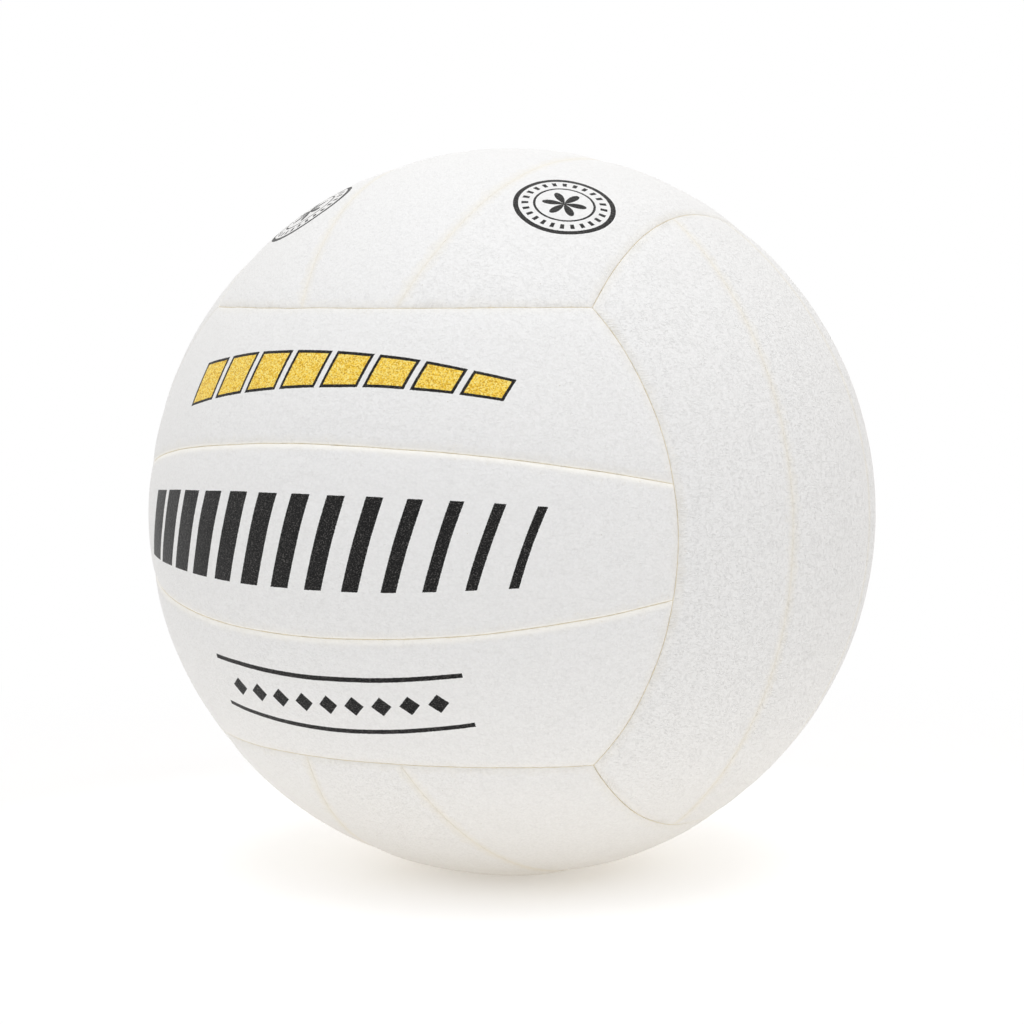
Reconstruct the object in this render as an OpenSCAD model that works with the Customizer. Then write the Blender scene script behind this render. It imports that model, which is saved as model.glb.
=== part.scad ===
// An indoor volleyball, built up in layers from the air out: bladder, winding, casing, foam pads and
// eighteen cover panels, with a valve that comes out through the middle panel at the back.
// The origin is the centre of the ball. +Z is up, and the front face looks along -Y.

/* [Ball] */
// Outside diameter of the inflated ball, over the crowns of its panels
ball_d = 210; // [190:1:230]
// Angle at the centre from the middle of a face out to the seam of its middle strip
strip_angle = 14; // [11:0.5:17]

/* [Cover panels] */
// Thickness of the synthetic leather
cover_t = 1.2; // [0.9:0.1:1.6]
// Radius of the rounded edge that each panel turns down into a seam
lip_r = 1.6; // [1.2:0.1:2.2]
// Width left between the walls of two neighbouring panels, where the casing shows
seam_gap = 0.7; // [0.3:0.1:1.2]

/* [Foam pads] */
// Thickness of the foam pad in the hollow of a panel
pad_t = 1.8; // [1.2:0.1:3]

/* [Casing and winding] */
// Thickness of the rubber casing that the panels are glued to
casing_t = 0.8; // [0.5:0.1:1.5]
// Thickness of the layer of wound nylon thread under the casing
winding_t = 0.7; // [0.4:0.1:1.5]

/* [Bladder] */
// Thickness of the inflated bladder's wall
bladder_t = 0.9; // [0.5:0.1:1.5]

/* [Valve] */
// Diameter of the hole that a needle goes into
needle_d = 2; // [1.6:0.1:2.4]
// Depth of the round hole, from its mouth to where the slit begins
needle_depth = 12; // [8:0.5:16]
// Width of the chamfer round the mouth of the needle hole
mouth_w = 0.6; // [0.3:0.1:1]
// Length of solid rubber behind the hole, which the needle parts along a slit
slit_l = 8; // [4:0.5:12]
// Wall of rubber round the needle hole in the core
core_wall = 1.8; // [1.2:0.1:2.4]
// Ledge of the core's head outside its shank
head_ledge = 0.7; // [0.4:0.1:1.2]
// Thickness of the core's head
head_t = 1.4; // [1:0.1:2.5]
// Wall of the boss's rim round the core's head
rim_wall = 1; // [0.7:0.1:1.6]
// Depth of the valve's outer face under the crown of the panel
rim_recess = 0.5; // [0.2:0.1:0.8]
// Ledge of the boss's neck outside its rim, which the cover panel lies over
neck_ledge = 1.5; // [1:0.1:2.5]
// Ledge of the boss's flange outside its neck, which is bonded inside the bladder
flange_ledge = 12; // [8:0.5:18]
// Thickness of that flange
flange_t = 1.2; // [0.8:0.1:2]
// Length of the boss's stem past the inner end of the core
stem_past = 2; // [0.5:0.5:5]

/* [Fits] */
// Glue line between two layers that are bonded together
bond_gap = 0.1; // [0.05:0.05:0.2]
// Gap round the boss in the holes that it comes out through
boss_gap = 0.3; // [0.1:0.05:0.6]
// Running gap round the core in the boss
core_gap = 0.04; // [0.02:0.01:0.08]

/* [Hidden] */
$fn = 96;

// Depth of the centre of a rounded edge under the crown, as a share of its radius. Under 1, so that the
// edge meets the crown at an angle that both surfaces can be cut to.
edge_depth_share = 0.85;
// The edge is rounded in this many conical bands
edge_steps = 3;
// The corners of a cube inscribed in the ball are the corners of the faces, so the line from the centre to
// a corner lies at this angle to each axis.
corner_angle = acos(1 / sqrt(3));

// Layers, from the crown inwards
crown_r = ball_d / 2;
cover_in_r = crown_r - cover_t;
seat_r = cover_in_r - pad_t;
casing_r = seat_r - bond_gap;
winding_r = casing_r - casing_t - bond_gap;
bladder_r = winding_r - winding_t - bond_gap;
air_r = bladder_r - bladder_t;

// Cuts run past what they cut by this much. The rings that cut a strip's sides reach from inside the air to
// well outside the ball, as shares of the crown's radius. They reach round to this angle from their axis,
// in degrees, which is past the far corner of the face.
overrun = cover_t;
ring_in_share = 0.8;
ring_out_share = 1.2;
ring_in_r = crown_r * ring_in_share;
ring_out_r = crown_r * ring_out_share;
ring_steps = 3;
ring_end = 180 - strip_angle;
// A ring is only turned this far about its axis, centred on the middle of the face
ring_turn = 120;

// Valve, from the needle hole outwards
core_r = needle_d / 2 + core_wall;
head_r = core_r + head_ledge;
rim_r = head_r + core_gap + rim_wall;
neck_r = rim_r + neck_ledge;
flange_r = neck_r + flange_ledge;
core_l = mouth_w + needle_depth + slit_l;
valve_face = crown_r - rim_recess;
core_end = valve_face - core_l;
stem_end = core_end - stem_past;

// Colours, as the photograph shows them or as such rubber is
leather_colour = "#E9E8E3";
foam_colour = "#F1E9D2";
casing_colour = "#D8BF86";
thread_colour = "#F4F1E8";
butyl_colour = "#35332F";
boss_colour = "#4A4843";
core_colour = "#2A2927";

// Each face: its name, the turn that takes +Z to its middle and X to its strips' length, and the names of
// its strips from the local -Y side to the +Y side
faces = [
    ["front", [90, 0, 0], ["lower", "middle", "upper"]],
    ["back", [-90, 0, 0], ["upper", "middle", "lower"]],
    ["right", [0, 90, 0], ["front", "middle", "rear"]],
    ["left", [0, -90, 0], ["front", "middle", "rear"]],
    ["top", [0, 0, 90], ["right", "middle", "left"]],
    ["bottom", [180, 0, 90], ["left", "middle", "right"]]
];
sides = [-1, 0, 1];
valve_strip = "back_middle";

function strip_name(face, side) = str(face[0], "_", face[2][side + 1]);
strips = [for (face = faces) for (side = sides) strip_name(face, side)];

module shell(outer_r, inner_r) {
    difference() {
        sphere(outer_r);
        sphere(inner_r);
    }
}

// A point in the profile plane, this far from the centre at this angle from the axis of revolution
function polar(r, angle) = r * [sin(angle), cos(angle)];

// Profile of what lies beyond a cap of cap_angle round the axis of revolution, as far round as end_angle.
// Its near wall stands this far inside the seam and leaves the cap a rounded edge of edge_r, or a square one
// where that is 0.
module beyond_profile(cap_angle, inset, edge_r, end_angle) {
    step = (end_angle - cap_angle) / ring_steps;
    out = polar(1, cap_angle);
    across = [cos(cap_angle), -sin(cap_angle)];
    foot = out * ring_in_r - across * inset;
    centre = out * (crown_r - edge_r * edge_depth_share) - across * (inset + edge_r);
    turns = edge_r > 0 ? [for (i = [0:edge_steps]) 90 * i / edge_steps] : [];
    edge = [for (t = turns) centre + edge_r * (across * cos(t) + out * sin(t))];
    head = centre + out * (ring_out_r - crown_r);
    far = [for (i = [1:ring_steps]) polar(ring_out_r, cap_angle + step * i)];
    near = [for (i = [ring_steps:-1:1]) polar(ring_in_r, cap_angle + step * i)];
    polygon(concat([foot], edge, [head], far, near));
}

// The whole of a face between two radii, as one dish turned round local Z. Its rim runs through the four
// corners of the face. The start of the turn is on the -Y side, which no strip made here covers.
module dish(outer_r, inner_r, inset, edge_r) {
    rotate([0, 0, -90]) rotate_extrude() difference() {
        circle(outer_r);
        circle(inner_r);
        translate([-2 * ring_out_r, -ring_out_r]) square(2 * ring_out_r);
        beyond_profile(corner_angle, inset, edge_r, 180);
    }
}

// The ring that cuts a dish beyond one seam. Its axis is local Z tilted about X.
module ring(tilt, cap_angle, inset, edge_r) {
    first = (tilt > 0 ? 90 : 270) - ring_turn / 2;
    rotate([tilt, 0, 0]) rotate_extrude(angle = ring_turn, start = first)
        beyond_profile(cap_angle, inset, edge_r, ring_end);
}

// One strip of a face, between two radii, with its walls this far inside its seams. The strips run along
// local X. side 0 is the middle strip, 1 is the outer one on the +Y side, and -1 is the same turned round.
module strip(side, outer_r, inner_r, inset, edge_r) {
    rotate([0, 0, side < 0 ? 180 : 0]) difference() {
        dish(outer_r, inner_r, inset, edge_r);
        if (side == 0) {
            for (turn = [0, 180]) rotate([0, 0, turn]) ring(90 - strip_angle, 90, inset, edge_r);
        } else {
            ring(-90 - strip_angle, 90, inset, edge_r);
            ring(90, 180 - corner_angle, inset, edge_r);
        }
    }
}

// A hole of this radius along local Z, from the middle of the air out through every layer
module valve_hole(r) {
    cylinder(h = ring_out_r, r = r);
}

// A cover panel: the leather over its pad and down round the pad's edges to the casing
module panel(face, side) {
    color(leather_colour) rotate(face[1]) difference() {
        strip(side, crown_r, seat_r, seam_gap / 2, lip_r);
        strip(side, cover_in_r, seat_r - overrun, seam_gap / 2 + cover_t, 0);
        if (strip_name(face, side) == valve_strip) valve_hole(rim_r + boss_gap);
    }
}

// The foam pad that fills the hollow of a panel
module pad(face, side) {
    color(foam_colour) rotate(face[1]) difference() {
        strip(side, cover_in_r - bond_gap, seat_r, seam_gap / 2 + cover_t + bond_gap, 0);
        if (strip_name(face, side) == valve_strip) valve_hole(neck_r + boss_gap);
    }
}

// One unbroken round layer, open only where the valve comes out along +Y
module layer(outer_r, inner_r, hole_r) {
    rotate([-90, 0, 0]) difference() {
        shell(outer_r, inner_r);
        valve_hole(hole_r);
    }
}

module casing() {
    color(casing_colour) layer(casing_r, casing_r - casing_t, neck_r + boss_gap);
}

module winding() {
    color(thread_colour) layer(winding_r, winding_r - winding_t, neck_r + boss_gap);
}

module bladder() {
    color(butyl_colour) layer(bladder_r, air_r, neck_r + bond_gap);
}

// The boss: a stem with a curved flange inside the bladder, a neck that ends under the cover panel, and a
// rim that comes up through the panel's hole. The core's bore runs through all of it.
module valve_boss() {
    color(boss_colour) rotate([-90, 0, 0]) difference() {
        union() {
            intersection() {
                sphere(cover_in_r - bond_gap);
                translate([0, 0, stem_end]) cylinder(h = crown_r - stem_end, r = neck_r);
            }
            intersection() {
                shell(air_r - bond_gap, air_r - bond_gap - flange_t);
                cylinder(h = crown_r, r = flange_r);
            }
            translate([0, 0, stem_end]) cylinder(h = valve_face - stem_end, r = rim_r);
        }
        translate([0, 0, stem_end - overrun]) cylinder(h = ring_out_r, r = core_r + core_gap);
        translate([0, 0, valve_face - head_t - core_gap]) cylinder(h = ring_out_r, r = head_r + core_gap);
    }
}

// The core: a rubber plug with a head in the boss's rim and a blind needle hole down its middle
module valve_core() {
    mouth_r = needle_d / 2 + mouth_w;
    color(core_colour) rotate([-90, 0, 0]) difference() {
        union() {
            translate([0, 0, core_end]) cylinder(h = core_l, r = core_r);
            translate([0, 0, valve_face - head_t]) cylinder(h = head_t, r = head_r);
        }
        translate([0, 0, valve_face - mouth_w - needle_depth]) cylinder(h = ring_out_r, r = needle_d / 2);
        translate([0, 0, valve_face - mouth_w]) cylinder(h = 2 * mouth_w, r1 = needle_d / 2, r2 = mouth_r + mouth_w);
    }
}

for (face = faces) for (side = sides) {
    panel(face, side);
    pad(face, side);
}
casing();
winding();
bladder();
valve_boss();
valve_core();
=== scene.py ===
# Looks of an indoor volleyball, dressed over its packed construction. Metres, in the construction's frame:
# the origin is the ball's centre, +Z is up and the front face looks along -Y.
import math

import bmesh
import bpy
from mathutils import Euler, Matrix, Vector, noise


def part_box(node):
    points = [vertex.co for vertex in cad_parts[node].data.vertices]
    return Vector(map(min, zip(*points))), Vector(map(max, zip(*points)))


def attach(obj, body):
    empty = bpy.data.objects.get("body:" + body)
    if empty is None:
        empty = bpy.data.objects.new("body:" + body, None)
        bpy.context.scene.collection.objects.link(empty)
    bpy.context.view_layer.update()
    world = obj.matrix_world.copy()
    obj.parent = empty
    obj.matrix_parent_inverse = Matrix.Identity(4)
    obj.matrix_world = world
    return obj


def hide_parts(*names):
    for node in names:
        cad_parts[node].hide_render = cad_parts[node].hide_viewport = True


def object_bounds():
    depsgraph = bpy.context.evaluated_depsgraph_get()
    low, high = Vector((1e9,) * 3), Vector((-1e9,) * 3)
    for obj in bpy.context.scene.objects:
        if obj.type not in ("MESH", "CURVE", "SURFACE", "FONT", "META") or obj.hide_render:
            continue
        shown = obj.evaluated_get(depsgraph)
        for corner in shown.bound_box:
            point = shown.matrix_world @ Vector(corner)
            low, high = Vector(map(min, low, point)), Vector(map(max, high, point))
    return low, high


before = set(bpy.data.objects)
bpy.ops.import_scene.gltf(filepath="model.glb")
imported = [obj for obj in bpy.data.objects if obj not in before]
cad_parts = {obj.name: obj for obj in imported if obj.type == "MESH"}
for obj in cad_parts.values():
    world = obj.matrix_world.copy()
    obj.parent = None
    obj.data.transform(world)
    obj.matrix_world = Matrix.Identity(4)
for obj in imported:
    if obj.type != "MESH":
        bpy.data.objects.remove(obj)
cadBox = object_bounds()

mm = 0.001
crownRadius = cadBox[1].x                 # over the crowns of the panels
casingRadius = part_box("casing")[1].x      # what the panels are glued to
bondGap = 0.1 * mm                        # glue line
cornerSine = 1 / math.sqrt(3)             # the faces meet at the corners of a cube inscribed in the ball

# Each face: the turn in degrees that takes +Z to its middle and X to its strips' length, and its strips from
# local -Y to +Y
faces = {
    "front": ((90, 0, 0), ("lower", "middle", "upper")),
    "back": ((-90, 0, 0), ("upper", "middle", "lower")),
    "right": ((0, 90, 0), ("front", "middle", "rear")),
    "left": ((0, -90, 0), ("front", "middle", "rear")),
    "top": ((0, 0, 90), ("right", "middle", "left")),
    "bottom": ((180, 0, 90), ("left", "middle", "right")),
}


def toLinear(hexColour):
    # An sRGB hex colour as the linear RGBA that sockets take
    channels = [int(hexColour[i:i + 2], 16) / 255 for i in (1, 3, 5)]
    return [c / 12.92 if c <= 0.04045 else ((c + 0.055) / 1.055) ** 2.4 for c in channels] + [1]


def addNode(tree, kind, settings=None, links=None):
    # A new node: settings are its own properties, or a colour ramp's (place, hex colour) stops, and links
    # give each input a value or another node's output
    node = tree.nodes.new(kind)
    for name, value in (settings or {}).items():
        if name == "stops":
            for i, (place, colour) in enumerate(value):
                elements = node.color_ramp.elements
                element = elements[i] if i < 2 else elements.new(place)
                element.position = place
                element.color = toLinear(colour)
        else:
            setattr(node, name, value)
    for name, value in (links or {}).items():
        if isinstance(value, bpy.types.NodeSocket):
            tree.links.new(value, node.inputs[name])
        else:
            node.inputs[name].default_value = value
    return node


# Settings that many nodes share
times = {"operation": "MULTIPLY"}
larger = {"operation": "MAXIMUM"}
smoothly = {"interpolation_type": "SMOOTHSTEP"}
asColours = {"data_type": "RGBA"}


def newMaterial(name):
    # An empty node material with its Principled shader, and millimetres from the piece's own frame
    material = bpy.data.materials.new(name)
    material.use_nodes = True
    tree = material.node_tree
    tree.nodes.clear()
    shader = addNode(tree, "ShaderNodeBsdfPrincipled")
    addNode(tree, "ShaderNodeOutputMaterial", links={"Surface": shader.outputs[0]})
    place = addNode(tree, "ShaderNodeTexCoord").outputs["Object"]
    inMm = addNode(tree, "ShaderNodeVectorMath", {"operation": "SCALE"}, {0: place, "Scale": 1 / mm})
    return material, tree, shader, inMm.outputs[0]


def smooth(x):
    x = min(1, max(0, x))
    return x * x * (3 - 2 * x)


# Camera and studio

cameraView = {
    "azimuth": 30.58,      # degrees round from straight in front of the front face,
    "elevation": 4.83,     # up,
    "roll": -0.27,         # and over
    "radiiAway": 7.6,      # distance from the ball's centre, in ball radii
    "lens": 96.36,         # mm, and the width of its sensor
    "sensor": 36,
}


def makeCamera(look):
    azimuth, elevation, roll = (math.radians(look[name]) for name in ("azimuth", "elevation", "roll"))
    back = Vector((
        math.sin(azimuth) * math.cos(elevation),
        -math.cos(azimuth) * math.cos(elevation),
        math.sin(elevation),
    ))
    right = Vector((math.cos(azimuth), math.sin(azimuth), 0))
    up = back.cross(right)
    turn = Matrix.Rotation(roll, 3, back)
    data = bpy.data.cameras.new("camera")
    data.lens = look["lens"]
    data.sensor_width = look["sensor"]
    camera = bpy.data.objects.new("camera", data)
    bpy.context.scene.collection.objects.link(camera)
    axes = Matrix((turn @ right, turn @ up, back)).transposed().to_4x4()
    camera.matrix_world = Matrix.Translation(back * crownRadius * look["radiiAway"]) @ axes
    bpy.context.scene.camera = camera


studio = {
    "floorSize": 8,            # m across
    "floorColour": "#FFFFFF",  # as it shows,
    "floorBounce": "#F1F1F1",  # and what it throws back at the ball
    "floorNear": 0.16,         # m from under the ball, as far as the floor takes its shadow
    "floorFar": 0.42,          # and from here on the floor is plain white backdrop
    "worldColour": "#F8F8FA",
    "warmColour": "#FFF6E6",   # what comes from behind the ball, seen glancing along its edges,
    "warmTowards": (0.8, -0.6),  # which is this far back along the view and this far up
    "warmSpread": (-0.3, 0.7),   # and comes on between these cosines from there
    "worldStrength": 0.8,
    "tableColour": "#FFF1DA",  # the light table under the ball, which fills its underside
    "tableStrength": 0.235,
    "tableNear": 0.1,          # m from under the ball, as far as it is brightest,
    "tableFar": 0.21,          # and from here on it is dark
    "lamps": {                 # place, size, power and colour
        "topLamp": ((0.2, -0.22, 1.35), 1.5, 7.5, "#FFFFFF"),
        "leftLamp": ((-1.05, -0.7, 0.05), 0.8, 0.55, "#FFFBF4"),
        "rightLamp": ((1.05, 0.1, 0), 0.8, 0.45, "#FFEBD0"),
    },
}


def addLamp(name, place, size, power, colour):
    data = bpy.data.lights.new(name, "AREA")
    data.shape = "DISK"
    data.size = size
    data.energy = power
    data.color = toLinear(colour)[:3]
    lamp = bpy.data.objects.new(name, data)
    bpy.context.scene.collection.objects.link(lamp)
    towardsBall = Vector(place).to_track_quat("Z", "Y").to_matrix().to_4x4()
    lamp.matrix_world = Matrix.Translation(place) @ towardsBall


def seenRay(tree):
    # 1 for rays that show the background itself: straight to the camera, or by a reflection or through glass
    path = addNode(tree, "ShaderNodeLightPath")
    either = addNode(tree, "ShaderNodeMath", larger, {
        0: path.outputs["Is Camera Ray"], 1: path.outputs["Is Glossy Ray"]})
    return addNode(tree, "ShaderNodeMath", larger, {
        0: either.outputs[0], 1: path.outputs["Is Transmission Ray"]}).outputs[0]


def makeFloor(look):
    mesh = bpy.data.meshes.new("floor")
    bm = bmesh.new()
    bmesh.ops.create_grid(bm, x_segments=1, y_segments=1, size=look["floorSize"] / 2)
    bmesh.ops.translate(bm, verts=bm.verts, vec=(0, 0, cadBox[0].z))
    bm.to_mesh(mesh)
    bm.free()
    floor = bpy.data.objects.new("floor", mesh)
    bpy.context.scene.collection.objects.link(floor)

    # White seamless paper: matt, with the ball's soft shadow, and plain white further off
    material = bpy.data.materials.new("seamlessPaper")
    material.use_nodes = True
    tree = material.node_tree
    tree.nodes.clear()
    place = addNode(tree, "ShaderNodeTexCoord").outputs["Object"]
    flat = addNode(tree, "ShaderNodeVectorMath", times, {0: place, 1: (1, 1, 0)})
    away = addNode(tree, "ShaderNodeVectorMath", {"operation": "LENGTH"}, {0: flat.outputs[0]})
    far = addNode(tree, "ShaderNodeMapRange", smoothly, {
        "Value": away.outputs["Value"], "From Min": look["floorNear"], "From Max": look["floorFar"]})
    share = addNode(tree, "ShaderNodeMath", times, {0: far.outputs[0], 1: seenRay(tree)})
    shade = addNode(tree, "ShaderNodeMix", asColours, {
        0: seenRay(tree), 6: toLinear(look["floorBounce"]), 7: toLinear(look["floorColour"])})
    paper = addNode(tree, "ShaderNodeBsdfDiffuse", links={"Color": shade.outputs[2]})
    lit = addNode(tree, "ShaderNodeMapRange", smoothly, {
        "Value": away.outputs["Value"], "From Min": look["tableNear"], "From Max": look["tableFar"],
        "To Min": look["tableStrength"], "To Max": 0})
    tint = addNode(tree, "ShaderNodeMix", asColours, {
        0: seenRay(tree), 6: toLinear(look["tableColour"]), 7: (1, 1, 1, 1)})
    glow = addNode(tree, "ShaderNodeEmission", links={"Color": tint.outputs[2], "Strength": lit.outputs[0]})
    near = addNode(tree, "ShaderNodeAddShader", links={0: paper.outputs[0], 1: glow.outputs[0]})
    white = addNode(tree, "ShaderNodeEmission")
    mix = addNode(tree, "ShaderNodeMixShader", links={
        0: share.outputs[0], 1: near.outputs[0], 2: white.outputs[0]})
    addNode(tree, "ShaderNodeOutputMaterial", links={"Surface": mix.outputs[0]})
    mesh.materials.append(material)


def makeWorld(look):
    azimuth = math.radians(cameraView["azimuth"])
    back, up = look["warmTowards"]
    world = bpy.data.worlds.new("studio")
    bpy.context.scene.world = world
    world.use_nodes = True
    tree = world.node_tree
    tree.nodes.clear()
    towards = addNode(tree, "ShaderNodeTexCoord").outputs["Generated"]
    behind = addNode(tree, "ShaderNodeVectorMath", {"operation": "DOT_PRODUCT"}, {
        0: towards, 1: (-back * math.sin(azimuth), back * math.cos(azimuth), up)})
    warmth = addNode(tree, "ShaderNodeMapRange", smoothly, {
        "Value": behind.outputs["Value"],
        "From Min": look["warmSpread"][0], "From Max": look["warmSpread"][1]})
    tint = addNode(tree, "ShaderNodeMix", asColours, {
        0: warmth.outputs[0], 6: toLinear(look["worldColour"]), 7: toLinear(look["warmColour"])})
    soft = addNode(tree, "ShaderNodeBackground", links={
        "Color": tint.outputs[2], "Strength": look["worldStrength"]})
    white = addNode(tree, "ShaderNodeBackground", links={"Color": (1, 1, 1, 1)})
    mix = addNode(tree, "ShaderNodeMixShader", links={
        0: seenRay(tree), 1: soft.outputs[0], 2: white.outputs[0]})
    addNode(tree, "ShaderNodeOutputWorld", links={"Surface": mix.outputs[0]})


makeCamera(cameraView)
makeFloor(studio)
makeWorld(studio)
for name, lamp in studio["lamps"].items():
    addLamp(name, *lamp)
bpy.context.scene.view_settings.view_transform = "Standard"
print("camera and studio made")


# Strips: the shape that a panel and its pad share

stripAngle = math.radians(14)    # from the middle of a face out to the seams of its middle strip

# The long seams of a strip as planes n.p = c on the unit ball, with the strip where n.p is greater
stripSeams = {
    0: (
        (Vector((0, math.cos(stripAngle), math.sin(stripAngle))), 0),
        (Vector((0, -math.cos(stripAngle), math.sin(stripAngle))), 0),
    ),
    1: (
        (Vector((0, math.cos(stripAngle), -math.sin(stripAngle))), 0),
        (Vector((0, -1, 0)), -cornerSine),
    ),
}
endSeam = (Vector((0, 0, 1)), cornerSine)


def stripTurn(face, side):
    # From a strip's own frame to the ball's: the strip on the -Y side is the other outer one turned round
    turn = Euler([math.radians(a) for a in faces[face][0]], "XYZ").to_matrix()
    return turn @ Matrix.Rotation(math.pi if side < 0 else 0, 3, "Z")


def stripPatch(side, insets):
    # A function from shares (along, across) to a point of the unit ball inside the strip's four edges.
    # insets are how far inside its low seam, its high seam and its two end seams the edges lie.
    low, high = stripSeams[abs(side)]
    endSine = math.sin(math.asin(cornerSine) + insets[2] / crownRadius)
    endRadius = math.sqrt(1 - endSine ** 2)
    edges = []
    for (normal, sine), inset in zip((low, high), insets):
        wall = math.sin(math.asin(sine) + inset / crownRadius)
        y = (wall - normal.z * endSine) / normal.y
        radius = math.sqrt(1 - wall ** 2)
        reach = math.asin(math.sqrt(1 - y ** 2 - endSine ** 2) / radius)
        outward = Vector((0, -normal.z, normal.y))
        if outward.z < 0:
            outward.negate()
        edges.append((wall * normal, radius, reach, outward, math.asin(y / endRadius)))

    def long(edge, along):
        centre, radius, reach, outward, _ = edge
        angle = (2 * along - 1) * reach
        return centre + radius * (math.cos(angle) * outward + math.sin(angle) * Vector((1, 0, 0)))

    def end(across, sign):
        angle = edges[0][4] + (edges[1][4] - edges[0][4]) * across
        return Vector((sign * endRadius * math.cos(angle), endRadius * math.sin(angle), endSine))

    corners = [end(0, -1), end(0, 1), end(1, -1), end(1, 1)]
    longs, ends = {}, {}

    def point(along, across):
        if along not in longs:
            longs[along] = long(edges[0], along), long(edges[1], along)
        if across not in ends:
            ends[across] = end(across, -1), end(across, 1)
        a, b = longs[along]
        c, d = ends[across]
        p = (1 - across) * a + across * b + (1 - along) * c + along * d
        p -= (1 - across) * ((1 - along) * corners[0] + along * corners[1])
        p -= across * ((1 - along) * corners[2] + along * corners[3])
        return p.normalized()

    return point


def seamDistances(side, p):
    # Distance over the ball from this point to the low seam, the high seam and the nearer end seam
    planes = [*stripSeams[abs(side)], endSeam]
    return [crownRadius * (math.asin(max(-1, min(1, n.dot(p)))) - math.asin(c)) for n, c in planes]


def stripSpans(side):
    # A strip's greatest length and width over the ball
    across = 2 * stripAngle if side == 0 else math.asin(cornerSine) - stripAngle
    return 2 * math.acos(cornerSine) * crownRadius, across * crownRadius


def rowShare(row, rows, span, look):
    # Share of the way across at this row: close rows where the edges turn down, even ones between
    fromEdge = min(row, rows - row)
    lip = look["lipReach"]
    if fromEdge <= look["lipRows"]:
        place = lip * (fromEdge / look["lipRows"]) ** look["lipCrowding"]
    else:
        place = lip + (span / 2 - lip) * (fromEdge - look["lipRows"]) / (rows / 2 - look["lipRows"])
    share = place / span
    return share if row <= rows / 2 else 1 - share


def edgeShare(distance, width):
    # 1 at a wall, 0 from width on
    return min(1, max(0, 1 - distance / width))


def roundDrop(distance, width):
    # Share of a round edge's depth at this distance from its wall, along a quarter of an ellipse
    return 1 - math.sqrt(1 - edgeShare(distance, width) ** 2)


# Cover panels

panelLook = {
    "rowsAlong": 250,          # of faces, along the strip and across it
    "rowsAcross": 72,
    "lipRows": 9,              # rows that close up towards an edge, and how far they reach from it
    "lipReach": 1.8 * mm,
    "lipCrowding": 2.2,
    "crownWidth": 10 * mm,     # the panel's slight cushion shape, in from its seams
    "crownDepth": 0.5 * mm,
    # A seam's gap, and the width and depth of the edges that turn down into it
    "openSeam": (0.02 * mm, 1.9 * mm, 0.48 * mm),
    "closedSeam": (0.02 * mm, 1.2 * mm, 0.05 * mm),
    "gapChange": 0.04 * mm,    # how much a gap opens here and there along its seam
    "lowGap": 0.018 * mm,      # and how much more the seams low on the ball stand open, this far down
    "lowReach": 60 * mm,
    "gapRun": 3 * mm,          # from one such place to the next
    "leather": 1.2 * mm,
    "seamWander": 0.2 * mm,    # seams laid by hand aren't quite true
    "wanderRun": 15 * mm,
    "wanderSeed": 1,           # without one, Blender's noise vectors differ from run to run
    "swell": 0.1 * mm,         # slow rise and fall of the surface, and how far under the crown it stays
    "swellRun": 12 * mm,
    "swellUnder": 0.6,
    "pucker": 0.06 * mm,       # small folds square to a seam: height, spacing, length, and way in from it
    "puckerRun": 1.3 * mm,
    "puckerLength": 7 * mm,
    "puckerReach": 3.2 * mm,
    "puckerPatch": 9 * mm,     # they come in patches, this far apart, with this mean and contrast
    "puckerPatches": (0.22, 1.6),
    "puckerCorner": 4 * mm,    # and not so near a corner
    "closedPuckers": 0.25,     # a closed seam has hardly any, against an open one
    "crease": 0.03 * mm,       # faint bends across a strip: height, spacing and length
    "creaseRun": 3.5 * mm,
    "creaseLength": 26 * mm,
    # How strongly the leather of each face's strips shows its grain,
    "grain": {
        "front": (0.6, 0.6, 0.65),
        "right": (0.9, 1.05, 1.05),
        "top": (0.8, 0.6, 0.7),
        "bottom": (0.7, 0.8, 0.7),
        "left": (0.9, 0.8, 0.9),
        "back": (0.8, 0.9, 0.75),
    },
    # and how far each face's has puckered at its seams
    "puckers": {"front": 0.45, "right": 1.7, "top": 1.3, "bottom": 0.5, "left": 0.6, "back": 0.5},
    "farOff": 50 * mm,         # stands for no seam of a kind nearby
    "underHighlight": 0.45,        # how wide the painted highlight along an edge is on the underside of a panel, against its top side
    "holeRadius": 4.84 * mm,   # the valve's hole, and the width and depth of its rounded rim
    "holeLip": 0.9 * mm,
    "holeDepth": 0.35 * mm,
    "holeBlock": (6, 7),       # rows each side of the middle that the hole takes out
    "holeBlend": 3,            # the rows are back in line at this many times the block
    "holeSpread": 0.75,        # spacing of the rings round the hole, as a share of the rows'
}
openFaces = ("front", "back")
valvePanel = ("back", 0)


def seamKinds(face, side, look):
    # What a strip's low, high and end seams are like: those between two faces are always open
    inner = look["openSeam" if face in openFaces else "closedSeam"]
    outer = look["openSeam"]
    return (inner, inner, outer) if side == 0 else (inner, outer, outer)


def panelDrop(distances, kinds, look):
    # How far the outer surface lies under the crown at these distances from the walls
    deepest = max(depth for _, _, depth in kinds)
    lip, crown = 1, 1
    for distance, (_, width, depth) in zip(distances, kinds):
        lip *= 1 - depth / deepest * roundDrop(distance, width)
        crown *= 1 - edgeShare(distance, look["crownWidth"]) ** 2
    return deepest * (1 - lip) + look["crownDepth"] * (1 - crown)


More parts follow.
